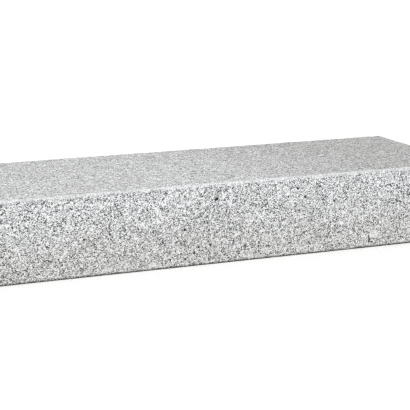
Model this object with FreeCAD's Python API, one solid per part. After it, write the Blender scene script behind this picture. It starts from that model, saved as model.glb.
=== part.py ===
import FreeCAD, Part
import os

# A granite step block: one solid of sawn stone with its arrises (its edges) chamfered, laid as a
# step of an outdoor stair. Millimetres, +Z up, +X along the step, and -Y out of the riser, the
# face that a person climbing the stair sees. The origin is the middle of the bed, the face that
# the block rests on.

# Driving dimensions. Each arris size is the leg of a 45 degree chamfer.
length = 1000.0  # along the step, X
depth = 350.0  # from the riser to the back, Y
height = 150.0  # from the bed to the tread, Z
tread_arris = 4.0  # the four edges round the tread, dressed the most because feet wear them
upright_arris = 3.0  # the four upright corners
bed_arris = 2.0  # the four edges round the bed, broken just enough not to spall

x_axis = FreeCAD.Vector(1, 0, 0)
y_axis = FreeCAD.Vector(0, 1, 0)
z_axis = FreeCAD.Vector(0, 0, 1)


def chamfered_bar(start, run, across, width, up, tall, lower_cut, upper_cut):
    """A straight bar whose rectangular section has its four corners cut at 45 degrees.

    The section is width wide, centred on start along the axis across, and tall high from start
    along the axis up. The bar leaves start along the vector run.
    """
    half = width / 2
    outline = [
        (-half + lower_cut, 0),
        (half - lower_cut, 0),
        (half, lower_cut),
        (half, tall - upper_cut),
        (half - upper_cut, tall),
        (-half + upper_cut, tall),
        (-half, tall - upper_cut),
        (-half, lower_cut),
    ]
    corners = [start + across * a + up * b for a, b in outline]
    section = Part.Face(Part.makePolygon(corners + corners[:1]))
    return section.extrude(run)


def step_block():
    """The stone that three chamfered bars, one along each axis, have in common.

    The bars along X and Y cut the tread and bed arrises, and the upright bar cuts the corners.
    """
    left_end = x_axis * (-length / 2)
    riser_foot = y_axis * (-depth / 2)
    along = chamfered_bar(
        left_end, x_axis * length, y_axis, depth, z_axis, height, bed_arris, tread_arris
    )
    through = chamfered_bar(
        riser_foot, y_axis * depth, x_axis, length, z_axis, height, bed_arris, tread_arris
    )
    upright = chamfered_bar(
        riser_foot, z_axis * height, x_axis, length, y_axis, depth, upright_arris, upright_arris
    )
    return along.common(through).common(upright)


os.makedirs("parts", exist_ok=True)
step_block().exportStep("parts/step_block.step")
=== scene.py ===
import math
import bpy
import numpy as np
from mathutils import Matrix, Vector


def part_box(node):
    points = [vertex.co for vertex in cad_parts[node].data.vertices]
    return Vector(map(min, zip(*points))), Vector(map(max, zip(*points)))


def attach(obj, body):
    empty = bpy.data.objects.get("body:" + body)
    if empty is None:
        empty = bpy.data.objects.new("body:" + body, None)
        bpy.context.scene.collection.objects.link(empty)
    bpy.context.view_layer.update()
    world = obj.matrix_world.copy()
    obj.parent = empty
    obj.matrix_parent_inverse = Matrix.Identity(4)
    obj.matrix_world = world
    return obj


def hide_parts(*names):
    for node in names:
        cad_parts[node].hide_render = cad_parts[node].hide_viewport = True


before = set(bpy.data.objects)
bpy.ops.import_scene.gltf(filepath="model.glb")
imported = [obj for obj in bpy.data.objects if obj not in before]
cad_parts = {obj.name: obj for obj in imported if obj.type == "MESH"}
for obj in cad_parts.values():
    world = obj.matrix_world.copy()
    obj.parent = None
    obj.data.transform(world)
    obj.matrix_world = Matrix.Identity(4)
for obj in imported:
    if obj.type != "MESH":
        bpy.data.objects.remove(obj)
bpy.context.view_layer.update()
blockLow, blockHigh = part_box("step_block")
blockSize = blockHigh - blockLow
mm = 0.001
print("frame loaded, block", [round(side / mm) for side in blockSize], "mm")


def linearColour(hexCode):
    # sRGB hex to the linear values that shaders work in
    channels = [int(hexCode[i : i + 2], 16) / 255 for i in (0, 2, 4)]
    return [c / 12.92 if c <= 0.04045 else ((c + 0.055) / 1.055) ** 2.4 for c in channels] + [1.0]


def addNode(tree, kind, settings=None, links=None):
    # a setting is a property of the node, or else the value of one of its inputs, by name or by place
    node = tree.nodes.new(kind)
    for name, value in (settings or {}).items():
        if isinstance(name, str) and hasattr(node, name):
            setattr(node, name, value)
        else:
            node.inputs[name].default_value = value
    for name, socket in (links or {}).items():
        tree.links.new(socket, node.inputs[name])
    return node


# camera: it aims at a point on the riser and stands off to the left, a little above the tread
cameraSetup = {
    "lens": 123.66,  # mm
    "sensorWidth": 36.0,
    "azimuth": -22.98,  # degrees round from straight in front
    "elevation": 12.15,
    "distance": 2.534,  # m, to the aimed point
    "aimAlong": -0.0591,  # m from the middle of the step
    "aimAbove": 0.1113,  # m above the bed
    "clipEnd": 200.0,  # m, past the far edge of the floor
}


def directionTo(azimuthDegrees, elevationDegrees):
    # unit vector from the block, with azimuth 0 straight out of the riser
    azimuth = math.radians(azimuthDegrees)
    elevation = math.radians(elevationDegrees)
    return Vector(
        (
            math.sin(azimuth) * math.cos(elevation),
            -math.cos(azimuth) * math.cos(elevation),
            math.sin(elevation),
        )
    )


def makeCamera(setup):
    middle = (blockLow.x + blockHigh.x) / 2
    aim = Vector((middle + setup["aimAlong"], blockLow.y, blockLow.z + setup["aimAbove"]))
    away = directionTo(setup["azimuth"], setup["elevation"])
    data = bpy.data.cameras.new("stepCamera")
    data.lens = setup["lens"]
    data.sensor_width = setup["sensorWidth"]
    data.clip_end = setup["clipEnd"]
    camera = bpy.data.objects.new("stepCamera", data)
    camera.location = aim + away * setup["distance"]
    camera.rotation_mode = "QUATERNION"
    camera.rotation_quaternion = (-away).to_track_quat("-Z", "Y")
    bpy.context.scene.collection.objects.link(camera)
    bpy.context.scene.camera = camera


makeCamera(cameraSetup)
print("camera placed")


# stage: a white floor under an even white sky, one broad soft key light and a softbox over the tread
stageSetup = {
    "floorReach": 60.0,  # m from the block
    "floorColour": "F9F9F8",
    "floorRoughness": 0.9,
    "stippleSize": 4.0,  # mm, the roller's marks in the floor's paint
    "stippleHeight": 0.2,  # mm
    "stippleStrength": 0.05,
    "skyStrength": 0.87,
    "keyStrength": 1.2,
    "keyAngle": 40.0,  # degrees across, which is what makes its shadow soft
    "keyAzimuth": -30.0,
    "keyElevation": 35.0,  # degrees above the floor
    "boxPower": 2.7,  # W
    "boxSize": 0.8,  # m
    "boxPlace": (-0.15, -0.25, 1.25),
}


def makeStage(setup):
    reach = setup["floorReach"]
    mesh = bpy.data.meshes.new("floor")
    corners = [(-reach, -reach), (reach, -reach), (reach, reach), (-reach, reach)]
    mesh.from_pydata([(x, y, blockLow.z) for x, y in corners], [], [(0, 1, 2, 3)])
    floor = bpy.data.objects.new("floor", mesh)
    bpy.context.scene.collection.objects.link(floor)
    mesh.materials.append(paintedBoard(setup))

    # the sky lights the block evenly, and looks as white as the floor does
    world = bpy.data.worlds.new("studio")
    bpy.context.scene.world = world
    world.use_nodes = True
    tree = world.node_tree
    tree.nodes.clear()
    white = (1, 1, 1, 1)
    lighting = addNode(tree, "ShaderNodeBackground", {"Color": white, "Strength": setup["skyStrength"]})
    backdrop = addNode(tree, "ShaderNodeBackground", {"Color": white, "Strength": 1.0})
    ray = addNode(tree, "ShaderNodeLightPath")
    mixed = addNode(
        tree,
        "ShaderNodeMixShader",
        links={0: ray.outputs["Is Camera Ray"], 1: lighting.outputs[0], 2: backdrop.outputs[0]},
    )
    addNode(tree, "ShaderNodeOutputWorld", links={"Surface": mixed.outputs[0]})

    key = bpy.data.lights.new("keyLight", "SUN")
    key.energy = setup["keyStrength"]
    key.angle = math.radians(setup["keyAngle"])
    keyObject = bpy.data.objects.new("keyLight", key)
    towards = directionTo(setup["keyAzimuth"], setup["keyElevation"])
    keyObject.rotation_mode = "QUATERNION"
    keyObject.rotation_quaternion = towards.to_track_quat("Z", "Y")
    bpy.context.scene.collection.objects.link(keyObject)

    box = bpy.data.lights.new("softbox", "AREA")
    box.shape = "SQUARE"
    box.size = setup["boxSize"]
    box.energy = setup["boxPower"]
    boxObject = bpy.data.objects.new("softbox", box)
    boxObject.location = setup["boxPlace"]
    boxObject.rotation_mode = "QUATERNION"
    boxObject.rotation_quaternion = Vector(setup["boxPlace"]).to_track_quat("Z", "Y")
    bpy.context.scene.collection.objects.link(boxObject)


def paintedBoard(setup):
    # matt painted board: an even white with the faintest roller stipple
    material = bpy.data.materials.new("mattPaintedBoard")
    material.use_nodes = True
    tree = material.node_tree
    tree.nodes.clear()
    place = addNode(tree, "ShaderNodeTexCoord")
    stipple = addNode(
        tree,
        "ShaderNodeTexNoise",
        {"Scale": 1 / (setup["stippleSize"] * mm)},
        {"Vector": place.outputs["Object"]},
    )
    raised = addNode(
        tree,
        "ShaderNodeBump",
        {"Strength": setup["stippleStrength"], "Distance": setup["stippleHeight"] * mm},
        {"Height": stipple.outputs[0]},
    )
    shader = addNode(
        tree,
        "ShaderNodeBsdfPrincipled",
        {"Base Color": linearColour(setup["floorColour"]), "Roughness": setup["floorRoughness"]},
        {"Normal": raised.outputs[0]},
    )
    addNode(tree, "ShaderNodeOutputMaterial", links={"Surface": shader.outputs[0]})
    return material


makeStage(stageSetup)
bpy.context.scene.view_settings.view_transform = "Standard"
bpy.context.scene.view_settings.look = "None"
bpy.context.scene.cycles.use_denoising = False  # it would smear grains as fine as these
bpy.context.scene.cycles.filter_width = 1.35  # a little narrower than usual, to keep the grains crisp
print("stage and lights ready")


# granite, a grainy rock of white feldspar, grey quartz and black mica, whose mix gives the salt and pepper
graniteLook = {
    "bendSize": 2.2,  # mm, from bend to bend in the grains' outlines
    "bendDepth": 2.4,  # mm
    "grainSize": 1.8,  # mm, the feldspar and quartz grains of the ground
    "quartzShare": 0.25,  # of the ground's grains
    "greyShare": 0.58,  # of them, quartz and grey feldspar together; the rest are white feldspar
    "shadeBlend": 0.08,  # share of grains whose shade lies between one mineral's and the next's
    "whiteFeldspar": "ECEDEF",
    "greyFeldspar": "C1C2C5",
    "quartz": "898A8F",
    "ironStain": "C6C0B2",
    "ironShare": 0.2,  # of the grains
    "ironStrength": 0.4,
    "crystalSize": 7.5,  # mm, large feldspar crystals
    "crystalShare": 0.19,
    "crystalRim": (0.42, 0.30),  # where it ends and where it is whole, in crystal sizes from its middle
    "crystalStrength": 0.7,
    "mica": "222324",
    "flakeSize": 1.7,  # mm, the mica flakes
    "flakeShare": 0.16,  # of the surface
    "flakeSoftness": 0.05,
    "flakeDrift": 9.0,  # mm, the drifts in which flakes gather
    "driftStrength": 0.35,
    "clotSize": 16.0,  # mm between the clots of mica, which are over a quarter of that across
    "clotShare": 0.10,
    "clotRim": (0.17, 0.12),
    "hornblende": "0C0D0E",
    "cloudSize": 45.0,  # mm, paler and darker clouds in the rock
    "cloudStrength": 0.18,
    # painted shade in the dents of the hammer
    "dentShade": "F6F6F3",
    "treadBand": (6.0, 3.0),  # mm below the tread where its dust begins and where it is full
    "treadDust": "B5B6AB",
    "treadDustStrength": 0.08,
    # painted shade: the tread darkens towards its right-hand end and its back
    "treadShade": "E7E7E5",
    "treadShadeFrom": -0.1,  # share of the length, counted from the middle
    "treadShadeTo": 0.4,
    "treadShadeEnd": 1.0,  # strength at the right-hand end of the tread
    "treadShadeBack": 0.15,  # strength at its back
    # pale crushed grains on the arrises, in part a painted highlight
    "bruiseAndHighlight": "DCDDDF",
    "bruiseAndHighlightStrength": 0.5,
    # the face grows darker and a little greener towards the foot
    "footDarkening": "F2F3F0",
    "footHeight": 110.0,  # mm, how far up the face it grows darker
    "footFull": 45.0,  # mm, up to where the darkening is at its strongest
    "footRagged": (25.0, 50.0),  # mm, size and depth of the darkening's uneven top
    "footStrength": 0.78,
    "footTint": "B0AF9C",
    "footTintStrength": 0.06,
    # dark colour of two soil marks and of the painted contact shadow along the foot
    "soilAndShadow": "34332D",
    "footShadowHeight": 3.2,  # mm, how high the painted contact shadow reaches up the foot
    "footShadowFrayed": (3.5, 8.0),  # mm, size and depth of the line's frayed top
    "footShadowFade": 1.5,  # mm, half the height over which the line fades out
    "footShadowStrength": 0.95,
    "crumbSize": 0.9,  # mm, crumbs on the crushed grains
    "grainHeight": 0.5,  # mm, how far the crushed grains stand out of the surface
    "roughness": 0.85,  # of the crushed feldspar
    "micaRoughness": 0.45,
}

# grains and scuffs that stand out: places in mm from the middle of the step, from the riser and from the bed,
# sizes in mm, turns in degrees
graniteMarks = [
    {"colour": "hornblende", "place": (-36, 0, 120), "size": (8.5, 8, 5.5), "turn": -40, "strength": 1.0},
    {"colour": "hornblende", "place": (-98, 0, 69), "size": (6, 8, 5), "turn": 0, "strength": 1.0},
    {"colour": "hornblende", "place": (128, 0, 126), "size": (4.5, 8, 4.5), "turn": 20, "strength": 1.0},
    {"colour": "hornblende", "place": (143, 0, 110), "size": (4, 8, 5), "turn": 0, "strength": 1.0},
    {"colour": "hornblende", "place": (280, 0, 18), "size": (4.5, 8, 15), "turn": -8, "strength": 0.85},
    {"colour": "whiteFeldspar", "place": (292, 0, 25), "size": (17, 6, 15), "turn": 0, "strength": 0.45},
    {"colour": "whiteFeldspar", "place": (220, 0, 53), "size": (8, 8, 7), "turn": 0, "strength": 1.0},
    {"colour": "mica", "place": (-435, 0, 141), "size": (5, 6, 6), "turn": 0, "strength": 0.7},
    {"colour": "mica", "place": (-436, 0, 113), "size": (5, 6, 8), "turn": 10, "strength": 0.6},
    {"colour": "soilAndShadow", "place": (-435, 0, 17), "size": (6, 6, 9), "turn": 0, "strength": 0.6},
    {"colour": "soilAndShadow", "place": (-439, 0, 9), "size": (7, 6, 7), "turn": 0, "strength": 0.6},
    {"colour": "whiteFeldspar", "place": (401, 169, 150), "size": (14, 11, 12), "turn": 0, "strength": 1.0},
]


def chosenCells(tree, vector, size, share, softness=0.02, drift=None):
    # one in a random share of the cells of a crystal pattern; a drift gathers them where it is high
    cells = addNode(tree, "ShaderNodeTexVoronoi", {"Scale": 1 / (size * mm)}, {"Vector": vector})
    draw = addNode(tree, "ShaderNodeSeparateColor", links={0: cells.outputs["Color"]}).outputs[0]
    if drift is not None:
        draw = addNode(tree, "ShaderNodeMath", {"operation": "ADD"}, {0: draw, 1: drift}).outputs[0]
    edge = 1 - share
    chosen = addNode(
        tree,
        "ShaderNodeMapRange",
        {"From Min": edge - softness, "From Max": edge + softness},
        {"Value": draw},
    )
    return chosen.outputs[0], cells.outputs["Distance"]


def laidOver(tree, under, over, mask, blend="MIX"):
    # a hex colour over the colour below, where the mask says; a stain multiplies, so the grains show through
    return addNode(
        tree,
        "ShaderNodeMix",
        {"data_type": "RGBA", "blend_type": blend, "B": linearColour(over)},
        {"Factor": mask, "A": under},
    ).outputs[2]


def dressedGranite(look, marks):
    # bush-hammered: the face is crushed by the points of a hammer, so it is matt, pale and pricked all over
    material = bpy.data.materials.new("bushHammeredGranite")
    material.use_nodes = True
    tree = material.node_tree
    tree.nodes.clear()
    place = addNode(tree, "ShaderNodeTexCoord").outputs["Object"]
    along, across, height = addNode(tree, "ShaderNodeSeparateXYZ", links={0: place}).outputs

    # grains interlock, so the cells of every pattern are bent a little by a fine noise
    bend = addNode(
        tree, "ShaderNodeTexNoise", {"Scale": 1 / (look["bendSize"] * mm), "Detail": 1.0}, {"Vector": place}
    )
    bendCentred = addNode(
        tree,
        "ShaderNodeVectorMath",
        {"operation": "SUBTRACT", 1: (0.5, 0.5, 0.5)},
        {0: bend.outputs["Color"]},
    )
    bent = addNode(
        tree,
        "ShaderNodeVectorMath",
        {"operation": "MULTIPLY_ADD", 1: (look["bendDepth"] * mm,) * 3},
        {0: bendCentred.outputs[0], 2: place},
    ).outputs[0]

    # ground of feldspar and quartz: each cell is one grain and draws its own mineral
    grain = addNode(
        tree, "ShaderNodeTexVoronoi", {"Scale": 1 / (look["grainSize"] * mm)}, {"Vector": bent}
    )
    grainDraw = addNode(tree, "ShaderNodeSeparateColor", links={0: grain.outputs["Color"]}).outputs
    ground = addNode(tree, "ShaderNodeValToRGB", links={0: grainDraw[0]})
    shades = [
        (0.0, look["quartz"]),
        (look["quartzShare"], look["quartz"]),
        (look["quartzShare"] + look["shadeBlend"], look["greyFeldspar"]),
        (look["greyShare"], look["greyFeldspar"]),
        (look["greyShare"] + look["shadeBlend"], look["whiteFeldspar"]),
    ]
    while len(ground.color_ramp.elements) < len(shades):
        ground.color_ramp.elements.new(0.5)
    for element, (position, colour) in zip(ground.color_ramp.elements, shades):
        element.position = position
        element.color = linearColour(colour)
    stained = addNode(
        tree,
        "ShaderNodeMapRange",
        {"From Min": 1 - look["ironShare"], "From Max": 1.0, "To Max": look["ironStrength"]},
        {"Value": grainDraw[1]},
    )
    stone = laidOver(tree, ground.outputs[0], look["ironStain"], stained.outputs[0])

    # the odd large crystal of feldspar, rounded where its neighbours grew into it
    chosen, distance = chosenCells(tree, bent, look["crystalSize"], look["crystalShare"])
    rim, whole = look["crystalRim"]
    rounded = addNode(
        tree,
        "ShaderNodeMapRange",
        {"From Min": rim, "From Max": whole, "To Max": look["crystalStrength"]},
        {"Value": distance},
    )
    crystal = addNode(tree, "ShaderNodeMath", {"operation": "MULTIPLY"}, {0: chosen, 1: rounded.outputs[0]})
    stone = laidOver(tree, stone, look["whiteFeldspar"], crystal.outputs[0])

    # mica flakes: small dark cells, gathered in drifts
    drift = addNode(
        tree, "ShaderNodeTexNoise", {"Scale": 1 / (look["flakeDrift"] * mm), "Detail": 2.0}, {"Vector": place}
    )
    gather = addNode(
        tree,
        "ShaderNodeMapRange",
        {"clamp": False, "To Min": -look["driftStrength"], "To Max": look["driftStrength"]},
        {"Value": drift.outputs[0]},
    )
    flake, _ = chosenCells(
        tree, bent, look["flakeSize"], look["flakeShare"], look["flakeSoftness"], gather.outputs[0]
    )
    stone = laidOver(tree, stone, look["mica"], flake)

    # clots, where mica crystallised together
    chosen, distance = chosenCells(tree, bent, look["clotSize"], look["clotShare"])
    rim, whole = look["clotRim"]
    rounded = addNode(tree, "ShaderNodeMapRange", {"From Min": rim, "From Max": whole}, {"Value": distance})
    clot = addNode(tree, "ShaderNodeMath", {"operation": "MULTIPLY"}, {0: chosen, 1: rounded.outputs[0]})
    stone = laidOver(tree, stone, look["mica"], clot.outputs[0])

    # marks: each an ellipsoid in the stone that the surface cuts through
    riserFoot = Vector(((blockLow.x + blockHigh.x) / 2, blockLow.y, blockLow.z))
    rim, whole = 1.15, 0.85  # a mark's edge is a little soft
    for mark in marks:
        spot = addNode(
            tree,
            "ShaderNodeMapping",
            {
                "vector_type": "TEXTURE",
                "Location": riserFoot + Vector(mark["place"]) * mm,
                "Rotation": (0.0, math.radians(mark["turn"]), 0.0),
                "Scale": Vector(mark["size"]) * mm / 2,
            },
            {"Vector": bent},
        )
        reach = addNode(tree, "ShaderNodeVectorMath", {"operation": "LENGTH"}, {0: spot.outputs[0]})
        inside = addNode(
            tree,
            "ShaderNodeMapRange",
            {"From Min": rim, "From Max": whole, "To Max": mark["strength"]},
            {"Value": reach.outputs["Value"]},
        )
        stone = laidOver(tree, stone, look[mark["colour"]], inside.outputs[0])

    # clouds: the mix of minerals changes slowly through the rock
    cloud = addNode(
        tree,
        "ShaderNodeTexNoise",
        {"Scale": 1 / (look["cloudSize"] * mm), "Detail": 3.0, "Roughness": 0.6},
        {"Vector": place},
    )
    shade = addNode(
        tree,
        "ShaderNodeMapRange",
        {"clamp": False, "To Min": 1 - look["cloudStrength"], "To Max": 1 + look["cloudStrength"]},
        {"Value": cloud.outputs[0]},
    )
    clouded = addNode(tree, "ShaderNodeHueSaturation", links={"Color": stone, "Value": shade.outputs[0]})
    stone = clouded.outputs[0]

    # painted shade: the dents of the hammer are darkened
    dent = addNode(tree, "ShaderNodeAttribute", {"attribute_name": "dent"})
    stone = laidOver(tree, stone, look["dentShade"], dent.outputs["Fac"], "MULTIPLY")

    # the tread holds a little dust, and painted shade darkens it towards the back and the right-hand end
    bandStart, bandFull = [blockHigh.z - below * mm for below in look["treadBand"]]
    level = addNode(
        tree, "ShaderNodeMapRange", {"From Min": bandStart, "From Max": bandFull}, {"Value": height}
    )
    towardsEnd = addNode(
        tree,
        "ShaderNodeMapRange",
        {
            "interpolation_type": "SMOOTHSTEP",
            "From Min": blockSize.x * look["treadShadeFrom"],
            "From Max": blockSize.x * look["treadShadeTo"],
            "To Max": look["treadShadeEnd"],
        },
        {"Value": along},
    )
    towardsBack = addNode(
        tree,
        "ShaderNodeMapRange",
        {"From Min": 0.0, "From Max": blockHigh.y, "To Max": look["treadShadeBack"]},
        {"Value": across},
    )
    both = addNode(
        tree, "ShaderNodeMath", {"operation": "ADD"}, {0: towardsEnd.outputs[0], 1: towardsBack.outputs[0]}
    )
    treadShadeMask = addNode(
        tree, "ShaderNodeMath", {"operation": "MULTIPLY"}, {0: both.outputs[0], 1: level.outputs[0]}
    )
    dusty = addNode(
        tree, "ShaderNodeMath", {"operation": "MULTIPLY", 1: look["treadDustStrength"]}, {0: level.outputs[0]}
    )
    stone = laidOver(tree, stone, look["treadDust"], dusty.outputs[0])
    stone = laidOver(tree, stone, look["treadShade"], treadShadeMask.outputs[0], "MULTIPLY")

    # arrises are bruised by the dressing and rubbed clean by feet, and crushed grains look paler; their pale
    # colour is also in part a painted highlight along the bevels
    arris = addNode(tree, "ShaderNodeAttribute", {"attribute_name": "arris"})
    bruisedAndLit = addNode(
        tree,
        "ShaderNodeMath",
        {"operation": "MULTIPLY", 1: look["bruiseAndHighlightStrength"]},
        {0: arris.outputs["Fac"]},
    )
    stone = laidOver(tree, stone, look["bruiseAndHighlight"], bruisedAndLit.outputs[0])

    # darker and a little greener towards the foot, with an uneven top; along the foot, a dark line of painted
    # contact shadow covers the bed arris
    raggedSize, raggedDepth = [value * mm for value in look["footRagged"]]
    ragged = addNode(tree, "ShaderNodeTexNoise", {"Scale": 1 / raggedSize, "Detail": 3.0}, {"Vector": place})
    lifted = addNode(
        tree,
        "ShaderNodeMath",
        {"operation": "MULTIPLY_ADD", 1: -raggedDepth},
        {0: ragged.outputs[0], 2: height},
    )
    # noise is a half on average, so half its depth is taken off again
    darkeningTop = blockLow.z + look["footHeight"] * mm - raggedDepth / 2
    darkeningFull = blockLow.z + look["footFull"] * mm - raggedDepth / 2
    climb = addNode(
        tree,
        "ShaderNodeMapRange",
        {"From Min": darkeningTop, "From Max": darkeningFull, "To Max": look["footStrength"]},
        {"Value": lifted.outputs[0]},
    )
    stone = laidOver(tree, stone, look["footDarkening"], climb.outputs[0], "MULTIPLY")
    tinted = addNode(
        tree, "ShaderNodeMath", {"operation": "MULTIPLY", 1: look["footTintStrength"]}, {0: climb.outputs[0]}
    )
    stone = laidOver(tree, stone, look["footTint"], tinted.outputs[0])
    # painted contact shadow: a dark line along the foot, over the bed arris, with a frayed top
    frayedSize, frayedDepth = [value * mm for value in look["footShadowFrayed"]]
    frayNoise = addNode(
        tree, "ShaderNodeTexNoise", {"Scale": 1 / frayedSize, "Detail": 2.0}, {"Vector": place}
    )
    frayed = addNode(
        tree,
        "ShaderNodeMath",
        {"operation": "MULTIPLY_ADD", 1: -frayedDepth},
        {0: frayNoise.outputs[0], 2: height},
    )
    footShadowTop = blockLow.z + look["footShadowHeight"] * mm - frayedDepth / 2
    footShadowFade = look["footShadowFade"] * mm
    footShadowed = addNode(
        tree,
        "ShaderNodeMapRange",
        {"From Min": footShadowTop + footShadowFade, "From Max": footShadowTop - footShadowFade, "To Max": look["footShadowStrength"]},
        {"Value": frayed.outputs[0]},
    )
    stone = laidOver(tree, stone, look["soilAndShadow"], footShadowed.outputs[0])

    # each grain stands out as a low dome; crushed feldspar is chalky, and mica keeps a little shine
    crumbs = addNode(
        tree, "ShaderNodeTexNoise", {"Scale": 1 / (look["crumbSize"] * mm), "Detail": 1.0}, {"Vector": place}
    )
    relief = addNode(
        tree,
        "ShaderNodeMath",
        {"operation": "MULTIPLY_ADD", 1: -1.0},
        {0: grain.outputs["Distance"], 2: crumbs.outputs[0]},
    )
    raised = addNode(
        tree,
        "ShaderNodeBump",
        {"Strength": 1.0, "Distance": look["grainHeight"] * mm},
        {"Height": relief.outputs[0]},
    )
    shine = addNode(
        tree,
        "ShaderNodeMapRange",
        {"To Min": look["roughness"], "To Max": look["micaRoughness"]},
        {"Value": flake},
    )
    shader = addNode(
        tree,
        "ShaderNodeBsdfPrincipled",
        {"IOR": 1.54},
        {"Base Color": stone, "Roughness": shine.outputs[0], "Normal": raised.outputs[0]},
    )
    addNode(tree, "ShaderNodeOutputMaterial", links={"Surface": shader.outputs[0]})
    return material


# block: a lattice over the six faces, closer set near the edges, with the dressing and arrises worked into it
blockShape = {
    "cell": 3.5,  # mm between the lattice's points
    "edgeCrowding": 5.0,  # mm by which rows crowd towards an edge
    "edgeReach": 7.0,  # mm, how far from the edge that fades
    "treadArris": 4.0,  # mm, the bevels' legs
    "uprightArris": 3.0,
    "bedArris": 2.0,
    "arrisWander": 0.2,  # share by which a leg varies along the edge
    "arrisWave": 25.0,  # mm, from one wider place to the next
    "arrisRound": 1.0,  # mm over which a bevel blends into its faces
    "bruiseAndHighlightReach": 4.0,  # mm, how far past a bevel its bruise and painted highlight fade out
    "chipDepth": 1.4,  # mm, added to the legs where the edge is chipped
    "chipSpacing": 40.0,
    "pitDepth": 0.9,  # mm, dents of the bush hammer
    "pitSpacing": 9.0,
    "waveDepth": 0.5,  # mm, slow unevenness of the dressed faces
    "waveLength": 80.0,
    "seed": 4.0,
    "sheetGap": 4.0,  # mm between the faces on the flattened sheet
}


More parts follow.
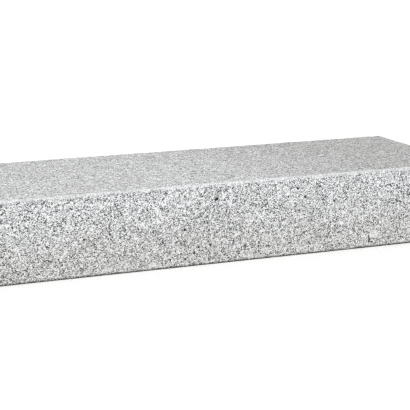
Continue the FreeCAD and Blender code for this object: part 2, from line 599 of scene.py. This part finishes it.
def blockTree(granite):
    tree = bpy.data.node_groups.new("graniteBlock", "GeometryNodeTree")
    for name in (
        "Length", "Depth", "Height", "Cell", "Edge Crowding", "Edge Reach",
        "Tread Arris", "Upright Arris", "Bed Arris", "Arris Wander", "Arris Wave", "Arris Round",
        "Bruise And Highlight Reach", "Chip Depth", "Chip Spacing", "Pit Depth", "Pit Spacing", "Wave Depth", "Wave Length",
        "Seed",
    ):
        tree.interface.new_socket(name, in_out="INPUT", socket_type="NodeSocketFloat")
    tree.interface.new_socket("Geometry", in_out="OUTPUT", socket_type="NodeSocketGeometry")
    given = addNode(tree, "NodeGroupInput").outputs

    # a noise lies round a half: these are its values where each kind of relief begins and where it is full
    cutStart, cutFull = 0.68, 0.30
    chipStart, chipFull = 0.62, 0.75
    narrowest, widest = 0.3, 0.7
    onFaceWithin = 0.01 * mm

    # the plain box, with a whole number of cells along each axis
    sizes = addNode(
        tree, "ShaderNodeCombineXYZ", links={0: given["Length"], 1: given["Depth"], 2: given["Height"]}
    ).outputs[0]
    cells = addNode(tree, "ShaderNodeVectorMath", {"operation": "DIVIDE"}, {0: sizes, 1: given["Cell"]})
    counts = addNode(tree, "ShaderNodeSeparateXYZ", links={0: cells.outputs[0]}).outputs
    box = addNode(
        tree,
        "GeometryNodeMeshCube",
        links={"Size": sizes, "Vertices X": counts[0], "Vertices Y": counts[1], "Vertices Z": counts[2]},
    )

    # each point as its side of the middle (signs) and how far in it lies from the nearest face, axis by axis
    position = addNode(tree, "GeometryNodeInputPosition").outputs[0]
    half = addNode(tree, "ShaderNodeVectorMath", {"operation": "SCALE", "Scale": 0.5}, {0: sizes})
    halves = half.outputs[0]
    signs = addNode(tree, "ShaderNodeVectorMath", {"operation": "SIGN"}, {0: position}).outputs[0]
    spread = addNode(tree, "ShaderNodeVectorMath", {"operation": "ABSOLUTE"}, {0: position}).outputs[0]
    even = addNode(tree, "ShaderNodeVectorMath", {"operation": "SUBTRACT"}, {0: halves, 1: spread})
    evenIn = even.outputs[0]

    # rows crowd towards the edges by in - crowding * (1 - e^(-in / reach)), stretched so the middle stays
    ratio = addNode(
        tree, "ShaderNodeVectorMath", {"operation": "DIVIDE"}, {0: evenIn, 1: given["Edge Reach"]}
    )
    fade = addNode(
        tree, "ShaderNodeVectorMath", {"operation": "POWER", 0: (math.exp(-1),) * 3}, {1: ratio.outputs[0]}
    )
    short = addNode(
        tree, "ShaderNodeVectorMath", {"operation": "SUBTRACT"}, {0: evenIn, 1: given["Edge Crowding"]}
    )
    pulled = addNode(
        tree,
        "ShaderNodeVectorMath",
        {"operation": "MULTIPLY_ADD"},
        {0: fade.outputs[0], 1: given["Edge Crowding"], 2: short.outputs[0]},
    )
    room = addNode(
        tree, "ShaderNodeVectorMath", {"operation": "SUBTRACT"}, {0: halves, 1: given["Edge Crowding"]}
    )
    stretch = addNode(tree, "ShaderNodeVectorMath", {"operation": "DIVIDE"}, {0: halves, 1: room.outputs[0]})
    crowdedIn = addNode(
        tree, "ShaderNodeVectorMath", {"operation": "MULTIPLY"}, {0: pulled.outputs[0], 1: stretch.outputs[0]}
    ).outputs[0]
    out = addNode(tree, "ShaderNodeVectorMath", {"operation": "SUBTRACT"}, {0: halves, 1: crowdedIn})
    seated = addNode(tree, "ShaderNodeVectorMath", {"operation": "MULTIPLY"}, {0: out.outputs[0], 1: signs})
    seat = seated.outputs[0]

    # the dressing only cuts in, so its high spots lie on the block's true faces; the bed is left as sawn
    noises = {}
    for name, spacing in (
        ("wave", "Wave Length"), ("pit", "Pit Spacing"), ("arris", "Arris Wave"), ("chip", "Chip Spacing")
    ):
        scale = addNode(tree, "ShaderNodeMath", {"operation": "DIVIDE", 0: 1.0}, {1: given[spacing]})
        noises[name] = addNode(
            tree,
            "ShaderNodeTexNoise",
            {"noise_dimensions": "4D", "Detail": 1.0},
            {"Vector": seat, "W": given["Seed"], "Scale": scale.outputs[0]},
        ).outputs[0]
    deep = {}
    for name in ("wave", "pit"):
        deep[name] = addNode(
            tree, "ShaderNodeMapRange", {"From Min": cutStart, "From Max": cutFull}, {"Value": noises[name]}
        ).outputs[0]
    waveCut = addNode(
        tree, "ShaderNodeMath", {"operation": "MULTIPLY"}, {0: deep["wave"], 1: given["Wave Depth"]}
    )
    faceCut = addNode(
        tree,
        "ShaderNodeMath",
        {"operation": "MULTIPLY_ADD"},
        {0: deep["pit"], 1: given["Pit Depth"], 2: waveCut.outputs[0]},
    ).outputs[0]
    signZ = addNode(tree, "ShaderNodeSeparateXYZ", links={0: signs}).outputs[2]
    isUpper = addNode(tree, "ShaderNodeMath", {"operation": "GREATER_THAN", 1: 0.0}, {0: signZ}).outputs[0]
    topCut = addNode(tree, "ShaderNodeMath", {"operation": "MULTIPLY"}, {0: faceCut, 1: isUpper}).outputs[0]
    raw = addNode(tree, "ShaderNodeSeparateXYZ", links={0: evenIn}).outputs
    crowded = addNode(tree, "ShaderNodeSeparateXYZ", links={0: crowdedIn}).outputs
    inward = []
    for axis, cut in enumerate((faceCut, faceCut, topCut)):
        onFace = addNode(tree, "ShaderNodeMath", {"operation": "LESS_THAN", 1: onFaceWithin}, {0: raw[axis]})
        inward.append(
            addNode(
                tree,
                "ShaderNodeMath",
                {"operation": "MULTIPLY_ADD"},
                {0: onFace.outputs[0], 1: cut, 2: crowded[axis]},
            ).outputs[0]
        )

    # arrises: where two faces' distances add up to less than the bevel's leg, both are pushed in alike
    wander = addNode(
        tree,
        "ShaderNodeMapRange",
        {"clamp": False, "From Min": narrowest, "From Max": widest, "To Min": -1.0},
        {"Value": noises["arris"]},
    )
    factor = addNode(
        tree,
        "ShaderNodeMath",
        {"operation": "MULTIPLY_ADD", 2: 1.0},
        {0: wander.outputs[0], 1: given["Arris Wander"]},
    ).outputs[0]
    chipped = addNode(
        tree,
        "ShaderNodeMapRange",
        {"interpolation_type": "SMOOTHSTEP", "From Min": chipStart, "From Max": chipFull},
        {"Value": noises["chip"]},
    )
    chip = addNode(
        tree, "ShaderNodeMath", {"operation": "MULTIPLY"}, {0: chipped.outputs[0], 1: given["Chip Depth"]}
    ).outputs[0]
    level = addNode(
        tree,
        "ShaderNodeMix",
        {"data_type": "FLOAT"},
        {"Factor": isUpper, "A": given["Bed Arris"], "B": given["Tread Arris"]},
    ).outputs[0]
    bruiseAndHighlightStart = addNode(
        tree, "ShaderNodeMath", {"operation": "MULTIPLY", 1: -1.0}, {0: given["Bruise And Highlight Reach"]}
    )
    onArris = None
    for first, second, leg in ((0, 1, given["Upright Arris"]), (0, 2, level), (1, 2, level)):
        worn = addNode(tree, "ShaderNodeMath", {"operation": "MULTIPLY_ADD"}, {0: leg, 1: factor, 2: chip})
        apart = addNode(tree, "ShaderNodeMath", {"operation": "ADD"}, {0: inward[first], 1: inward[second]})
        lack = addNode(
            tree, "ShaderNodeMath", {"operation": "SUBTRACT"}, {0: worn.outputs[0], 1: apart.outputs[0]}
        )
        push = addNode(
            tree,
            "ShaderNodeMath",
            {"operation": "SMOOTH_MAX", 1: 0.0},
            {0: lack.outputs[0], 2: given["Arris Round"]},
        )
        for axis in (first, second):
            inward[axis] = addNode(
                tree,
                "ShaderNodeMath",
                {"operation": "MULTIPLY_ADD", 1: 0.5},
                {0: push.outputs[0], 2: inward[axis]},
            ).outputs[0]
        near = addNode(
            tree,
            "ShaderNodeMapRange",
            {"From Max": 0.5 * mm},
            {"Value": lack.outputs[0], "From Min": bruiseAndHighlightStart.outputs[0]},
        ).outputs[0]
        if onArris is None:
            onArris = near
        else:
            nearest = addNode(tree, "ShaderNodeMath", {"operation": "MAXIMUM"}, {0: onArris, 1: near})
            onArris = nearest.outputs[0]

    marked = box.outputs["Mesh"]
    for name, value in (("arris", onArris), ("dent", deep["pit"])):
        marked = addNode(
            tree,
            "GeometryNodeStoreNamedAttribute",
            {"data_type": "FLOAT", "domain": "POINT", "Name": name},
            {"Geometry": marked, "Value": value},
        ).outputs[0]
    normal = addNode(tree, "GeometryNodeInputNormal").outputs[0]
    faced = addNode(
        tree,
        "GeometryNodeStoreNamedAttribute",
        {"data_type": "FLOAT_VECTOR", "domain": "FACE", "Name": "facing"},
        {"Geometry": marked, "Value": normal},
    )
    dressedIn = addNode(tree, "ShaderNodeCombineXYZ", links={0: inward[0], 1: inward[1], 2: inward[2]})
    dressedOut = addNode(
        tree, "ShaderNodeVectorMath", {"operation": "SUBTRACT"}, {0: halves, 1: dressedIn.outputs[0]}
    )
    placed = addNode(
        tree, "ShaderNodeVectorMath", {"operation": "MULTIPLY"}, {0: dressedOut.outputs[0], 1: signs}
    )
    shaped = addNode(
        tree, "GeometryNodeSetPosition", links={"Geometry": faced.outputs[0], "Position": placed.outputs[0]}
    )
    smooth = addNode(tree, "GeometryNodeSetShadeSmooth", links={"Geometry": shaped.outputs[0]})
    realized = addNode(tree, "GeometryNodeRealizeInstances", links={"Geometry": smooth.outputs[0]})
    finished = addNode(
        tree, "GeometryNodeSetMaterial", {"Material": granite}, {"Geometry": realized.outputs[0]}
    )
    addNode(tree, "NodeGroupOutput", links={0: finished.outputs[0]})
    return tree


def setInputs(modifier, values):
    # by the socket's identifier, since names aren't the keys of a modifier's inputs
    for item in modifier.node_group.interface.items_tree:
        if item.item_type == "SOCKET" and item.in_out == "INPUT":
            modifier[item.identifier] = values[item.name]


def unwrap(mesh, gap):
    # the faces lie flat on a square sheet, all at one scale: the long ones in four rows, the ends beside them
    length, depth, height = blockSize
    sheet = max(length + height + 3 * gap, 2 * depth + 2 * height + 5 * gap)
    points = np.empty(3 * len(mesh.vertices))
    mesh.vertices.foreach_get("co", points)
    corners = np.empty(len(mesh.loops), dtype=np.int32)
    mesh.loops.foreach_get("vertex_index", corners)
    facing = np.empty(3 * len(mesh.polygons))
    mesh.attributes["facing"].data.foreach_get("vector", facing)
    sides = np.empty(len(mesh.polygons), dtype=np.int32)
    mesh.polygons.foreach_get("loop_total", sides)
    facing = np.repeat(facing.reshape(-1, 3).round(), sides, axis=0)
    points = points.reshape(-1, 3)[corners] - np.array(blockLow)

    column = length + 2 * gap
    rows = gap + np.cumsum([0.0, depth + gap, height + gap, depth + gap])
    layout = [
        ((0, 0, 1), (0, 1), (gap, rows[0])),
        ((0, -1, 0), (0, 2), (gap, rows[1])),
        ((0, 0, -1), (0, 1), (gap, rows[2])),
        ((0, 1, 0), (0, 2), (gap, rows[3])),
        ((-1, 0, 0), (2, 1), (column, gap)),
        ((1, 0, 0), (2, 1), (column, 2 * gap + depth)),
    ]
    flat = np.zeros((len(corners), 2))
    for direction, axes, start in layout:
        chosen = (facing == direction).all(axis=1)
        flat[chosen] = (points[chosen][:, axes] + start) / sheet
    uvMap = mesh.uv_layers.new(name="OFBake")
    uvMap.uv.foreach_set("vector", flat.ravel())
    mesh.attributes.remove(mesh.attributes["facing"])


def makeBlock(shape, granite):
    maker = bpy.data.objects.new("blockMaker", bpy.data.meshes.new("blockMaker"))
    bpy.context.scene.collection.objects.link(maker)
    modifier = maker.modifiers.new("graniteBlock", "NODES")
    modifier.node_group = blockTree(granite)
    setInputs(
        modifier,
        {
            "Length": blockSize.x,
            "Depth": blockSize.y,
            "Height": blockSize.z,
            "Cell": shape["cell"] * mm,
            "Edge Crowding": shape["edgeCrowding"] * mm,
            "Edge Reach": shape["edgeReach"] * mm,
            "Tread Arris": shape["treadArris"] * mm,
            "Upright Arris": shape["uprightArris"] * mm,
            "Bed Arris": shape["bedArris"] * mm,
            "Arris Wander": shape["arrisWander"],
            "Arris Wave": shape["arrisWave"] * mm,
            "Arris Round": shape["arrisRound"] * mm,
            "Bruise And Highlight Reach": shape["bruiseAndHighlightReach"] * mm,
            "Chip Depth": shape["chipDepth"] * mm,
            "Chip Spacing": shape["chipSpacing"] * mm,
            "Pit Depth": shape["pitDepth"] * mm,
            "Pit Spacing": shape["pitSpacing"] * mm,
            "Wave Depth": shape["waveDepth"] * mm,
            "Wave Length": shape["waveLength"] * mm,
            "Seed": shape["seed"],
        },
    )
    evaluated = maker.evaluated_get(bpy.context.evaluated_depsgraph_get())
    mesh = bpy.data.meshes.new_from_object(evaluated)
    maker.modifiers.remove(modifier)
    bpy.data.objects.remove(maker)
    mesh.name = "stepStone"
    mesh.transform(Matrix.Translation((blockLow + blockHigh) / 2))
    unwrap(mesh, shape["sheetGap"] * mm)
    stone = bpy.data.objects.new("stepStone", mesh)
    bpy.context.scene.collection.objects.link(stone)
    return stone


stone = makeBlock(blockShape, dressedGranite(graniteLook, graniteMarks))
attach(stone, "root")
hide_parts("step_block")
triangles = sum(len(polygon.vertices) - 2 for polygon in stone.data.polygons)
print("block made,", triangles, "triangles")
